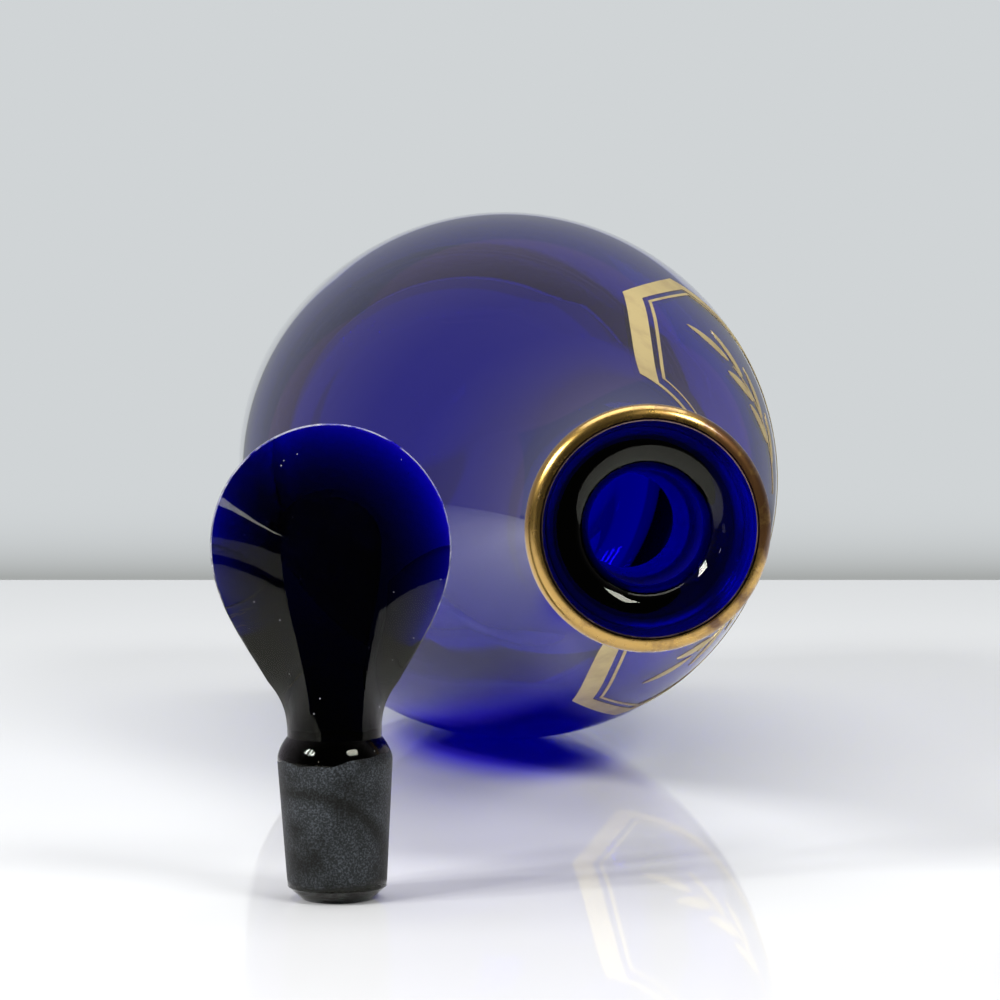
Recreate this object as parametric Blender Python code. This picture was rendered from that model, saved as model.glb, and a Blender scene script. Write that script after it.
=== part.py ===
"""Cobalt glass brandy decanter lying on its side, with its stopper standing beside the mouth.

Metres, +Z up. The origin is on the resting plane, under the middle of the part's box.
The vessel's axis runs along Y: its mouth faces -Y and its base faces +Y.
"""

import math

import bmesh
import bpy

# Vessel body, with heights measured along its axis from the foot
BODY_RADIUS = 0.044
HEEL_HEIGHT = 0.030
BODY_STRAIGHT = 0.040
SHOULDER_ARC_RADIUS = 0.176
SHOULDER_SLOPE = math.radians(20.85)
WALL = 0.0026

# Base: a flat foot ring round a pushed-up middle with its polished pontil mark
FOOT_RADIUS = 0.031
FOOT_RING_WIDTH = 0.0045
BASE_THICKNESS = 0.0115
KICK_HEIGHT = 0.005
PONTIL_RADIUS = 0.010
PONTIL_DEPTH = 0.0008
FLOOR_SHARE = 0.86

# Neck and mouth
NECK_RADIUS = 0.0104
NECK_WALL = 0.0030
NECK_FILLET_RADIUS = 0.030
NECK_STRAIGHT = 0.0216
FLARE_HEIGHT = 0.0085
RIM_RADIUS = 0.0147
RIM_EDGE_RADIUS = 0.0011
FUNNEL_SLOPE = math.radians(20.0)
THROAT_ROUNDING = 0.0026

# Stopper, with heights measured from its foot
PEG_TOP_RADIUS = 0.00692
PEG_BOTTOM_RADIUS = 0.00596
PEG_FOOT_RADIUS = 0.00424
PEG_FOOT_CHAMFER = 0.00155
PEG_HEIGHT = 0.01675
COLLAR_ROUNDING = 0.00068
WAIST_HEIGHT = 0.01955
WAIST_RADIUS = 0.00567
HEAD_WIDE_HEIGHT = 0.0423
HEAD_HALF_WIDTH = 0.0144
HEAD_CROWN_HEIGHT = 0.0147
HEAD_EDGE_THICKNESS = 0.00106
HEAD_BLEND_HEIGHT = 0.00823
STOPPER_LEAN = math.radians(-0.9)
SEAT_CLEARANCE = 0.0001

# The flat teardrop ground on both faces of the stopper's head
FACET_HALF_WIDTH = 0.00615
FACET_CROWN_HEIGHT = 0.0061
FACET_WAIST_HALF_WIDTH = 0.0030
FACET_WAIST_THICKNESS = 0.0097
FACET_CROWN_THICKNESS = 0.0085

# Handles of the head's flank curves, as shares of the height from waist to widest place
OUTLINE_UPPER_SHARE = 0.43
OUTLINE_LOWER_SHARE = 0.30
FACET_UPPER_SHARE = 0.34
FACET_LOWER_SHARE = 0.42

# Where the stopper stands, from the vessel's axis and from the plane of the lip
STOPPER_ASIDE = 0.0382
STOPPER_BEHIND_LIP = -0.0023

# Gilding
GILT_THICKNESS = 0.0003
GILT_GAP = 0.0004
LIP_GILT_FROM = math.radians(-75.0)
LIP_GILT_TO = math.radians(86.0)

# Gilt label, half widths measured round the glass and heights from the shoulder's start
LABEL_TURN = math.radians(-7.0)
LABEL_FOOT = 0.0310
LABEL_LOW_CORNER = 0.0425
LABEL_HIGH_CORNER = 0.0645
LABEL_TOP = 0.0915
LABEL_FOOT_HALF = 0.0285
LABEL_WIDE_HALF = 0.0427
LABEL_TOP_HALF = 0.0245
BAND_WIDTH = 0.0034
LINE_SETBACK = 0.0009
LINE_WIDTH = 0.0009

# Gilt laurel spray inside the label, two branches that rise from the middle
BRANCH_RISE = 0.0190
BRANCH_ARC_RADIUS = 0.045
BRANCH_FROM = math.radians(4.0)
SPRAY_CLEARANCE = 0.0053
STEM_WIDTH = 0.0009
LEAF_LENGTH = 0.0090
LEAF_WIDTH = 0.0021
LEAF_SETBACK = 0.0012
LEAF_SPREAD = math.radians(34.0)
LEAVES_PER_BRANCH = 6

# Counts of steps round and along the curves
ROUND_STEPS = 32
SHOULDER_STEPS = 10
HEEL_STEPS = 7
PONTIL_STEPS = 2
KICK_STEPS = 4
FLOOR_STEPS = 4
FILLET_STEPS = 4
FLARE_STEPS = 4
RIM_STEPS = 6
THROAT_STEPS = 4
COLLAR_STEPS = 3
FLANK_STEPS = 10
CROWN_STEPS = 9
FACET_STEPS = 6
BEVEL_STEPS = 4
BAND_CUTS = 11
STEM_STEPS = 12
LEAF_STEPS = 6

MERGE_DISTANCE = 0.000001

# Places that follow from the sizes above
SHOULDER_START = HEEL_HEIGHT + BODY_STRAIGHT
KICK_REACH = FOOT_RADIUS - FOOT_RING_WIDTH
BORE_RADIUS = PEG_TOP_RADIUS + SEAT_CLEARANCE
BORE_END_RADIUS = PEG_BOTTOM_RADIUS + SEAT_CLEARANCE
SEAT_LENGTH = PEG_HEIGHT - PEG_FOOT_CHAMFER
FIELD_HALF = LABEL_WIDE_HALF - BAND_WIDTH - LINE_SETBACK - LINE_WIDTH
BRANCH_LOW = LABEL_FOOT + BRANCH_RISE
BRANCH_LENGTH = FIELD_HALF - SPRAY_CLEARANCE - LEAF_SETBACK - LEAF_LENGTH
BRANCH_TO = BRANCH_FROM + BRANCH_LENGTH / BRANCH_ARC_RADIUS


def principled(name, colour, roughness, metallic=0.0, transmission=0.0):
    """A plain finish: colour, roughness, and how far it is metal or clear glass."""
    material = bpy.data.materials.new(name)
    material.use_nodes = True
    shader = material.node_tree.nodes["Principled BSDF"]
    shader.inputs["Base Color"].default_value = (*colour, 1.0)
    shader.inputs["Roughness"].default_value = roughness
    shader.inputs["Metallic"].default_value = metallic
    shader.inputs["Transmission Weight"].default_value = transmission
    material.diffuse_color = (*colour, 1.0)
    return material


def new_object(name, bm, material, parent):
    """Close a bmesh into an object with one material, its round parts shaded smooth."""
    bmesh.ops.remove_doubles(bm, verts=bm.verts, dist=MERGE_DISTANCE)
    bmesh.ops.recalc_face_normals(bm, faces=bm.faces)
    mesh = bpy.data.meshes.new(name)
    bm.to_mesh(mesh)
    bm.free()
    mesh.shade_smooth()
    mesh.set_sharp_from_angle(angle=math.radians(30.0))
    mesh.materials.append(material)
    piece = bpy.data.objects.new(name, mesh)
    bpy.context.scene.collection.objects.link(piece)
    piece.parent = parent
    return piece


def new_empty(name, location, rotation=(0.0, 0.0, 0.0)):
    empty = bpy.data.objects.new(name, None)
    bpy.context.scene.collection.objects.link(empty)
    empty.location = location
    empty.rotation_euler = rotation
    return empty


# Curves of (radius, height) points


def arc(centre, radius, start, end, steps):
    """Points on an arc, with both of its ends."""
    angles = [start + (end - start) * step / steps for step in range(steps + 1)]
    return [(centre[0] + radius * math.cos(a), centre[1] + radius * math.sin(a)) for a in angles]


def bezier(handles, share):
    """One point on a cubic curve, at a share of the way along it."""
    rest = 1.0 - share
    weights = (rest**3, 3.0 * rest**2 * share, 3.0 * rest * share**2, share**3)
    return tuple(sum(w * handle[axis] for w, handle in zip(weights, handles)) for axis in (0, 1))


def turned(name, profile, material, parent):
    """Spin a profile into a solid: from the axis back to the axis, or round a closed loop.

    The middle of each facet lies on the true radius, and one facet faces straight down
    once the vessel lies on its side.
    """
    half_step = math.pi / ROUND_STEPS
    bm = bmesh.new()
    loop = []
    for radius, height in profile:
        loop.append(bm.verts.new((radius, radius * math.tan(half_step), height)))
    edges = [bm.edges.new(pair) for pair in zip(loop, loop[1:])]
    if profile[0][0] > 0.0:
        edges.append(bm.edges.new((loop[-1], loop[0])))
    bmesh.ops.spin(
        bm,
        geom=loop + edges,
        cent=(0.0, 0.0, 0.0),
        axis=(0.0, 0.0, 1.0),
        dvec=(0.0, 0.0, 0.0),
        angle=2.0 * math.pi,
        steps=ROUND_STEPS,
        use_merge=True,
    )
    return new_object(name, bm, material, parent)


# Vessel


def shoulder_and_neck(offset, neck_radius):
    """The shoulder's arc, the cone above it and the fillet into the neck.

    An offset of zero gives the outside, and the wall's thickness gives the inside.
    """
    centre = (BODY_RADIUS - SHOULDER_ARC_RADIUS, SHOULDER_START)
    points = arc(centre, SHOULDER_ARC_RADIUS - offset, 0.0, SHOULDER_SLOPE, SHOULDER_STEPS)
    cone_radius, cone_height = points[-1]
    corner_height = cone_height + (cone_radius - neck_radius) / math.tan(SHOULDER_SLOPE)
    fillet_radius = NECK_FILLET_RADIUS + offset
    fillet_top = corner_height + fillet_radius * math.tan(SHOULDER_SLOPE / 2.0)
    centre = (neck_radius + fillet_radius, fillet_top)
    return points + arc(centre, fillet_radius, math.pi + SHOULDER_SLOPE, math.pi, FILLET_STEPS)


def kick(radius):
    """How far the base is pushed up at a radius, down to nothing at the foot ring."""
    if radius >= KICK_REACH:
        return 0.0
    return KICK_HEIGHT * math.cos(math.pi / 2.0 * radius / KICK_REACH) ** 2


def underside():
    """The base from the axis out to the foot ring: pontil mark, kick and flat ring."""
    points = []
    for step in range(PONTIL_STEPS + 1):
        radius = PONTIL_RADIUS * step / PONTIL_STEPS
        dish = PONTIL_DEPTH * (1.0 - (radius / PONTIL_RADIUS) ** 2)
        points.append((radius, kick(radius) + dish))
    for step in range(1, KICK_STEPS + 1):
        radius = PONTIL_RADIUS + (KICK_REACH - PONTIL_RADIUS) * step / KICK_STEPS
        points.append((radius, kick(radius)))
    return points


def heel(side_radius, floor_radius, floor_height):
    """The rounded heel from the floor's edge up to the straight side, a quarter ellipse."""
    points = []
    for step in range(HEEL_STEPS + 1):
        angle = math.pi / 2.0 * (1.0 - step / HEEL_STEPS)
        radius = floor_radius + (side_radius - floor_radius) * math.cos(angle)
        points.append((radius, HEEL_HEIGHT - (HEEL_HEIGHT - floor_height) * math.sin(angle)))
    return points


def outside_of_body():
    """The glass's outside from the foot ring to the top of the neck's fillet."""
    return heel(BODY_RADIUS, FOOT_RADIUS, 0.0) + shoulder_and_neck(0.0, NECK_RADIUS)


def inside_of_body():
    """The glass's inside from the neck's fillet down to the axis on the floor."""
    points = heel(BODY_RADIUS - WALL, FOOT_RADIUS * FLOOR_SHARE, BASE_THICKNESS)
    points += shoulder_and_neck(WALL, NECK_RADIUS - NECK_WALL)
    floor = []
    for step in range(FLOOR_STEPS):
        radius = FOOT_RADIUS * FLOOR_SHARE * step / FLOOR_STEPS
        floor.append((radius, BASE_THICKNESS + kick(radius)))
    return list(reversed(floor + points))


def flare_start():
    return outside_of_body()[-1][1] + NECK_STRAIGHT


def rim_centre():
    """Middle of the round edge of the lip."""
    return (RIM_RADIUS - RIM_EDGE_RADIUS, flare_start() + FLARE_HEIGHT + RIM_EDGE_RADIUS)


def lip_height():
    return rim_centre()[1] + RIM_EDGE_RADIUS


def mouth():
    """The flare under the lip, its round edge, the funnel, the throat and the ground seat."""
    points = []
    edge_radius, edge_height = rim_centre()
    for step in range(FLARE_STEPS):
        angle = math.pi / 2.0 * step / FLARE_STEPS
        radius = edge_radius - (edge_radius - NECK_RADIUS) * math.cos(angle)
        points.append((radius, flare_start() + FLARE_HEIGHT * math.sin(angle)))
    upright = math.pi / 2.0 + FUNNEL_SLOPE
    points += arc(rim_centre(), RIM_EDGE_RADIUS, -math.pi / 2.0, upright, RIM_STEPS)
    funnel_radius, funnel_height = points[-1]
    throat_radius = BORE_RADIUS + THROAT_ROUNDING * (1.0 - math.sin(FUNNEL_SLOPE))
    funnel_drop = (funnel_radius - throat_radius) * math.tan(FUNNEL_SLOPE)
    throat_centre = (
        BORE_RADIUS + THROAT_ROUNDING,
        funnel_height - funnel_drop - THROAT_ROUNDING * math.cos(FUNNEL_SLOPE),
    )
    points += arc(throat_centre, THROAT_ROUNDING, upright, math.pi, THROAT_STEPS)
    points.append((BORE_END_RADIUS, throat_centre[1] - SEAT_LENGTH))
    return points


def build_vessel(material, parent):
    """One blown piece: hollow, open at the mouth, with a thick pushed-up base."""
    profile = underside() + outside_of_body() + mouth() + inside_of_body()
    return turned("vessel", profile, material, parent)


def build_lip_gilding(material, parent):
    """A band of gold round the lip's edge."""
    inner = RIM_EDGE_RADIUS + GILT_GAP
    profile = arc(rim_centre(), inner + GILT_THICKNESS, LIP_GILT_FROM, LIP_GILT_TO, RIM_STEPS)
    profile += arc(rim_centre(), inner, LIP_GILT_TO, LIP_GILT_FROM, RIM_STEPS)
    return turned("lip_gilding", profile, material, parent)


# Gilding laid on the shoulder


def radius_on(outline, height):
    """The outline's radius at a height, between the two points on either side."""
    for (low_radius, low), (high_radius, high) in zip(outline, outline[1:]):
        if low <= height <= high and high > low:
            return low_radius + (high_radius - low_radius) * (height - low) / (high - low)
    return outline[-1][0]


def lay_on_shoulder(bm):
    """Wrap a flat sheet round the glass and give it its thickness.

    In the flat sheet X runs round the glass from the label's middle, and Y is the height
    above the shoulder's start.
    """
    outline = outside_of_body()
    for vert in bm.verts:
        height = SHOULDER_START + vert.co.y
        glass = radius_on(outline, height)
        angle = LABEL_TURN + vert.co.x / glass
        radius = glass + GILT_GAP + GILT_THICKNESS
        vert.co = (radius * math.cos(angle), radius * math.sin(angle), height)
    bm.normal_update()
    outwards = sum(face.normal.dot(face.calc_center_median()) for face in bm.faces) > 0.0
    thickness = GILT_THICKNESS if outwards else -GILT_THICKNESS
    bmesh.ops.solidify(bm, geom=bm.faces[:], thickness=thickness)


def label_outline(bm):
    """The label's eight-sided outline as one flat face."""
    right = (
        (LABEL_FOOT_HALF, LABEL_FOOT),
        (LABEL_WIDE_HALF, LABEL_LOW_CORNER),
        (LABEL_WIDE_HALF, LABEL_HIGH_CORNER),
        (LABEL_TOP_HALF, LABEL_TOP),
    )
    left = [(-across, up) for across, up in reversed(right)]
    field = bm.faces.new([bm.verts.new((across, up, 0.0)) for across, up in (*right, *left)])
    bm.normal_update()
    return field


def build_label_frame(name, setback, width, material, parent):
    """A closed frame of even width, set back from the label's outline."""
    bm = bmesh.new()
    field = label_outline(bm)
    for thickness in (setback, width):
        if thickness > 0.0:
            border = bmesh.ops.inset_region(
                bm,
                faces=[field],
                thickness=thickness,
                use_boundary=True,
                use_even_offset=True,
            )["faces"]
    bm.faces.remove(field)
    bmesh.ops.delete(bm, geom=[face for face in bm.faces if face not in border], context="FACES")
    sides = [edge for edge in bm.edges if len(edge.link_faces) == 1]
    bmesh.ops.subdivide_edges(bm, edges=sides, cuts=BAND_CUTS, use_grid_fill=True)
    lay_on_shoulder(bm)
    return new_object(name, bm, material, parent)


def branch_place(angle, side):
    """A place on a branch and the way that the branch runs there."""
    across = BRANCH_ARC_RADIUS * math.sin(angle)
    up = BRANCH_LOW + BRANCH_ARC_RADIUS * (1.0 - math.cos(angle))
    heading = angle if side > 0 else math.pi - angle
    return side * across, up, heading


def build_stem(name, side, material, parent):
    """One branch's stem, a thin strip bent along the branch."""
    bm = bmesh.new()
    bmesh.ops.create_grid(bm, x_segments=STEM_STEPS, y_segments=1, size=1.0)
    for vert in bm.verts:
        angle = BRANCH_FROM + (BRANCH_TO - BRANCH_FROM) * (vert.co.x + 1.0) / 2.0
        across, up, heading = branch_place(angle, side)
        reach = vert.co.y * STEM_WIDTH / 2.0
        vert.co = (across - reach * math.sin(heading), up + reach * math.cos(heading), 0.0)
    lay_on_shoulder(bm)
    return new_object(name, bm, material, parent)


def build_leaf(name, place, heading, material, parent):
    """One leaf, a brush stroke pointed at both ends."""
    bm = bmesh.new()
    bmesh.ops.create_grid(bm, x_segments=LEAF_STEPS, y_segments=1, size=1.0)
    for vert in bm.verts:
        along = LEAF_LENGTH * (vert.co.x + 1.0) / 2.0
        swell = math.cos(math.pi / 2.0 * vert.co.x)
        across = vert.co.y * swell * LEAF_WIDTH / 2.0
        vert.co = (
            place[0] + along * math.cos(heading) - across * math.sin(heading),
            place[1] + along * math.sin(heading) + across * math.cos(heading),
            0.0,
        )
    bmesh.ops.remove_doubles(bm, verts=bm.verts, dist=MERGE_DISTANCE)
    lay_on_shoulder(bm)
    return new_object(name, bm, material, parent)


def build_branch(label, side, material, parent):
    """A stem with leaves on alternate sides, and one leaf in line with its tip."""
    build_stem(f"spray_stem_{label}", side, material, parent)
    for leaf in range(LEAVES_PER_BRANCH):
        share = (leaf + 1) / LEAVES_PER_BRANCH
        across, up, heading = branch_place(BRANCH_FROM + (BRANCH_TO - BRANCH_FROM) * share, side)
        turn = LEAF_SPREAD if leaf % 2 else -LEAF_SPREAD
        if leaf == LEAVES_PER_BRANCH - 1:
            turn = 0.0
        heading += turn
        place = (
            across + LEAF_SETBACK * math.cos(heading),
            up + LEAF_SETBACK * math.sin(heading),
        )
        build_leaf(f"spray_leaf_{label}_{leaf + 1}", place, heading, material, parent)


# Stopper


def round_ring(radius, height, angles):
    return [(radius * math.cos(angle), radius * math.sin(angle), height) for angle in angles]


def head_outlines(step):
    """The outline and the facet's outline at one step up the head, as half width and height."""
    rise = HEAD_WIDE_HEIGHT - WAIST_HEIGHT
    if step <= FLANK_STEPS:
        share = step / FLANK_STEPS
        outline = bezier(
            (
                (WAIST_RADIUS, WAIST_HEIGHT),
                (WAIST_RADIUS, WAIST_HEIGHT + rise * OUTLINE_LOWER_SHARE),
                (HEAD_HALF_WIDTH, HEAD_WIDE_HEIGHT - rise * OUTLINE_UPPER_SHARE),
                (HEAD_HALF_WIDTH, HEAD_WIDE_HEIGHT),
            ),
            share,
        )
        facet = bezier(
            (
                (FACET_WAIST_HALF_WIDTH, WAIST_HEIGHT),
                (FACET_WAIST_HALF_WIDTH, WAIST_HEIGHT + rise * FACET_LOWER_SHARE),
                (FACET_HALF_WIDTH, HEAD_WIDE_HEIGHT - rise * FACET_UPPER_SHARE),
                (FACET_HALF_WIDTH, HEAD_WIDE_HEIGHT),
            ),
            share,
        )
        return outline, facet
    angle = math.pi / 2.0 * (step - FLANK_STEPS) / CROWN_STEPS
    across, up = math.cos(angle), math.sin(angle)
    if step == FLANK_STEPS + CROWN_STEPS:
        across = 0.0
    outline = (HEAD_HALF_WIDTH * across, HEAD_WIDE_HEIGHT + HEAD_CROWN_HEIGHT * up)
    facet = (FACET_HALF_WIDTH * across, HEAD_WIDE_HEIGHT + FACET_CROWN_HEIGHT * up)
    return outline, facet


def head_ring(step):
    """One ring of points round the head: facet, bevel and narrow edge, front and back.

    Just above the waist the ring starts as a circle and turns into the cut section.
    """
    outline, facet = head_outlines(step)
    share = min(1.0, (facet[1] - WAIST_HEIGHT) / HEAD_BLEND_HEIGHT)
    thickness_share = (facet[1] - WAIST_HEIGHT) / (
        HEAD_WIDE_HEIGHT + FACET_CROWN_HEIGHT - WAIST_HEIGHT
    )
    thickness = FACET_WAIST_THICKNESS * (1.0 - thickness_share)
    thickness += FACET_CROWN_THICKNESS * thickness_share
    edge = (outline[0], HEAD_EDGE_THICKNESS / 2.0, outline[1])
    face = (facet[0], thickness / 2.0, facet[1])
    quarter = []
    for bevel in range(BEVEL_STEPS):
        part = bevel / BEVEL_STEPS
        quarter.append(tuple(edge[i] * (1.0 - part) + face[i] * part for i in range(3)))
    for flat in range(FACET_STEPS // 2 + 1):
        quarter.append((face[0] * (1.0 - 2.0 * flat / FACET_STEPS), face[1], face[2]))
    front = quarter + [(-x, y, z) for x, y, z in reversed(quarter[:-1])]
    cut = front + [(x, -y, z) for x, y, z in reversed(front)]
    ring = []
    for x, y, z in cut:
        rounded = WAIST_RADIUS / max(math.hypot(x, y), MERGE_DISTANCE)
        grow_by = share + (1.0 - share) * rounded
        ring.append((x * grow_by, y * grow_by, z))
    return ring


def grow(bm, ring, places):
    """Extrude an open ring of vertices to its next places, and give the new ring back."""
    edges = [bm.edges.get(pair) for pair in zip(ring, ring[1:] + ring[:1])]
    geom = bmesh.ops.extrude_edge_only(bm, edges=edges)["geom"]
    fresh = {item for item in geom if isinstance(item, bmesh.types.BMVert)}
    grown = []
    for vert, place in zip(ring, places):
        above = next(e.other_vert(vert) for e in vert.link_edges if e.other_vert(vert) in fresh)
        above.co = place
        grown.append(above)
    return grown


def build_stopper(material, parent):
    """One solid piece: tapered peg, sloping collar, round waist and bevel-cut head."""
    waist = head_ring(0)
    angles = [math.atan2(y, x) for x, y, z in waist]
    peg_top = PEG_HEIGHT
    collar_rise = WAIST_HEIGHT - peg_top - COLLAR_ROUNDING
    places = [
        round_ring(PEG_BOTTOM_RADIUS, PEG_FOOT_CHAMFER, angles),
        round_ring(PEG_TOP_RADIUS, peg_top, angles),
    ]
    for step in range(1, COLLAR_STEPS + 1):
        turn = math.pi / 2.0 * step / COLLAR_STEPS
        radius = WAIST_RADIUS + (PEG_TOP_RADIUS - WAIST_RADIUS) * (1.0 - math.sin(turn))
        height = peg_top + COLLAR_ROUNDING + collar_rise * (1.0 - math.cos(turn))
        if step < COLLAR_STEPS:
            places.append(round_ring(radius, height, angles))
    places += [head_ring(step) for step in range(FLANK_STEPS + CROWN_STEPS + 1)]
    bm = bmesh.new()
    ring = [bm.verts.new(place) for place in round_ring(PEG_FOOT_RADIUS, 0.0, angles)]
    bm.faces.new(ring)
    for ring_places in places:
        ring = grow(bm, ring, ring_places)
    for vert in bm.verts:
        vert.co.x += math.tan(STOPPER_LEAN) * vert.co.z
    return new_object("stopper", bm, material, parent)


def main():
    for old in list(bpy.data.objects):
        bpy.data.objects.remove(old)

    vessel_glass = principled("cobalt_glass_blown", (0.020, 0.010, 0.300), 0.02, 0.0, 0.9)
    stopper_glass = principled("cobalt_glass_cut", (0.004, 0.002, 0.090), 0.03, 0.0, 0.6)
    gilt = principled("fired_gold", (0.640, 0.420, 0.110), 0.30, 1.0)

    # The part's box reaches from the stopper's head to the vessel's side, and from the
    # stopper's peg, or the lip, to the foot ring
    left_reach = STOPPER_ASIDE + HEAD_HALF_WIDTH - math.tan(STOPPER_LEAN) * HEAD_WIDE_HEIGHT
    vessel_x = (left_reach - BODY_RADIUS) / 2.0
    front_reach = max(0.0, PEG_TOP_RADIUS - STOPPER_BEHIND_LIP)
    foot_y = (lip_height() + front_reach) / 2.0

    lying = new_empty(
        "vessel_axis", (vessel_x, foot_y, BODY_RADIUS), (math.pi / 2.0, 0.0, 0.0)
    )
    build_vessel(vessel_glass, lying)
    build_lip_gilding(gilt, lying)
    build_label_frame("label_outer_band", 0.0, BAND_WIDTH, gilt, lying)
    build_label_frame("label_inner_line", BAND_WIDTH + LINE_SETBACK, LINE_WIDTH, gilt, lying)
    build_branch("upper", 1, gilt, lying)
    build_branch("lower", -1, gilt, lying)

    standing = new_empty(
        "stopper_axis",
        (vessel_x - STOPPER_ASIDE, foot_y - lip_height() + STOPPER_BEHIND_LIP, 0.0),
    )
    build_stopper(stopper_glass, standing)


main()
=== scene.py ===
"""Looks for the cobalt glass brandy decanter that lies on its side, and its stopper beside it.

Metres, +Z up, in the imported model's frame. The vessel's axis runs along Y, mouth towards -Y.
"""

import math

import bmesh
import bpy
from mathutils import Matrix, Vector

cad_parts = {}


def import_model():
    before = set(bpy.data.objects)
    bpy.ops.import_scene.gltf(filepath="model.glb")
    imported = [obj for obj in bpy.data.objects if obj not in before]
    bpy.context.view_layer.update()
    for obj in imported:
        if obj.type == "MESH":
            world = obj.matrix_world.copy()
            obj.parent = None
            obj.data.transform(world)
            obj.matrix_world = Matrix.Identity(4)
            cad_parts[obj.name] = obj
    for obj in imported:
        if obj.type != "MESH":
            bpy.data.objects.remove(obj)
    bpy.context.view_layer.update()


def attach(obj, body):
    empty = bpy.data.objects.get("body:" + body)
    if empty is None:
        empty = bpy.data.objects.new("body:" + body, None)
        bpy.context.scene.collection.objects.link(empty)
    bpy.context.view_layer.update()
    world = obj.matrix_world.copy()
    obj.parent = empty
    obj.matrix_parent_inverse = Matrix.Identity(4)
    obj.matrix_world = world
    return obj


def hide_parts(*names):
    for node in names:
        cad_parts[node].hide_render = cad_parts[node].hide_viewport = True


# Camera, matched to the photograph's frame of 1000 by 1000
IMAGE_WIDTH = 1000.0
FOCAL_PIXELS = 3259.4
SENSOR_WIDTH = 36.0
CAMERA_PLACE = (-0.05796, -0.50029, 0.06802)
CAMERA_TURN = math.radians(6.47)
CAMERA_TILT = math.radians(2.97)
CAMERA_NEAR = 0.02
CAMERA_FAR = 20.0

# Stage, with distances from the camera along the table
TABLE_FRONT_EDGE = 0.24
TABLE_FRONT_TURN = math.radians(20.0)
TABLE_BACK_EDGE = 0.892
TABLE_LENGTH = TABLE_BACK_EDGE - TABLE_FRONT_EDGE
TABLE_WIDTH = 1.4
TABLE_THICKNESS = 0.03
TABLE_EDGE_ROUNDING = 0.003
TABLE_EDGE_STEPS = 4
BACKDROP_DISTANCE = 4.0
BACKDROP_HALF_SIZE = 1.95
# Painted shade low on the backdrop, and a painted pool of light on it
BACKDROP_PAINTED_SHADE_BELOW = -0.234
BACKDROP_PALE_ABOVE = -0.090
BACKDROP_PAINTED_SHADE_POWER = 4.0
PAINTED_POOL_REACH = (0.63, 0.74)
PAINTED_POOL_OUTSIDE_SHARE = 0.5

# Painted blue light: blue painted into the table's colour round the vessel's resting line, a painted
# caustic
PAINTED_BLUE_LIGHT_PLACE = (0.003, 0.041)
PAINTED_BLUE_LIGHT_REACH = (0.019, 0.052)
PAINTED_BLUE_LIGHT_SHARES = (0.6, 1.25)

# Lights, hung from the point that they light, with their sizes and watts
LIT_POINT = Vector((0.0, -0.11, 0.04))
HEAD_POINT = Vector((-0.0336, -0.112, 0.043))
LEFT_WINDOW_PANES = 3
LEFT_WINDOW_TURN = math.radians(15.0)
LEFT_WINDOW_PANE_TURN = math.radians(10.0)
LEFT_WINDOW_RISE_SHARE = 0.73
LEFT_WINDOW_DISTANCE = 0.9
LEFT_WINDOW_SIZE = (0.08, 0.24)
LEFT_WINDOW_WATTS = 3.2
RIGHT_WINDOW_PLACE = Vector((0.52, -0.64, 0.76))
RIGHT_WINDOW_SIZE = (0.42, 0.28)
RIGHT_WINDOW_WATTS = 6.5
CEILING_PLACE = (0.0, 0.05, 1.2)
CEILING_SIZE = (1.2, 0.8)
CEILING_WATTS = 8.7
LAMP_PLACE = Vector((-0.59, -0.78, 0.19))
LAMP_SIZE = (0.05, 0.05)
LAMP_WATTS = 0.06
PAPER_PLACE = Vector((-0.65, -0.82, -0.06))
PAPER_SIZE = (0.22, 0.10)
PAPER_WATTS = 0.05
ROOM_FRONT_TO_BACK_SHARES = (-0.5, 0.6)

# How often light may bounce
GLASS_BOUNCES = 24
GLOSSY_BOUNCES = 8
DIFFUSE_BOUNCES = 4

# Where the vessel's axis and the stopper stand
VESSEL_X = 0.004632
FOOT_Y = 0.118821
STOPPER_X = -0.033568
STOPPER_Y = -0.111901

# Vessel body, with heights measured along its axis from the foot
BODY_RADIUS = 0.044
HEEL_HEIGHT = 0.030
BODY_STRAIGHT = 0.040
BODY_SIDE_ARC_RADIUS = 0.9
SHOULDER_ARC_RADIUS = 0.176
SHOULDER_SLOPE = math.radians(24.0)
WALL = 0.0018
SHOULDER_START = HEEL_HEIGHT + BODY_STRAIGHT

# Base
FOOT_RADIUS = 0.031
FOOT_RING_WIDTH = 0.0045
BASE_THICKNESS = 0.0085
KICK_HEIGHT = 0.005
PONTIL_RADIUS = 0.010
PONTIL_DEPTH = 0.0008
FLOOR_SHARE = 0.86
KICK_REACH = FOOT_RADIUS - FOOT_RING_WIDTH

# Neck and mouth
NECK_RADIUS = 0.0104
NECK_WALL = 0.0030
NECK_FILLET_RADIUS = 0.150
NECK_STRAIGHT = 0.00296
FLARE_HEIGHT = 0.0085
RIM_CENTRE_RADIUS = 0.0136
RIM_CENTRE_RISE = 0.0011
RIM_EDGE_RADIUS = 0.0015
FUNNEL_SLOPE = math.radians(7.0)
THROAT_ROUNDING = 0.0038
BORE_RADIUS = 0.00702
BORE_END_RADIUS = 0.00606
SEAT_LENGTH = 0.0152

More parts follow.
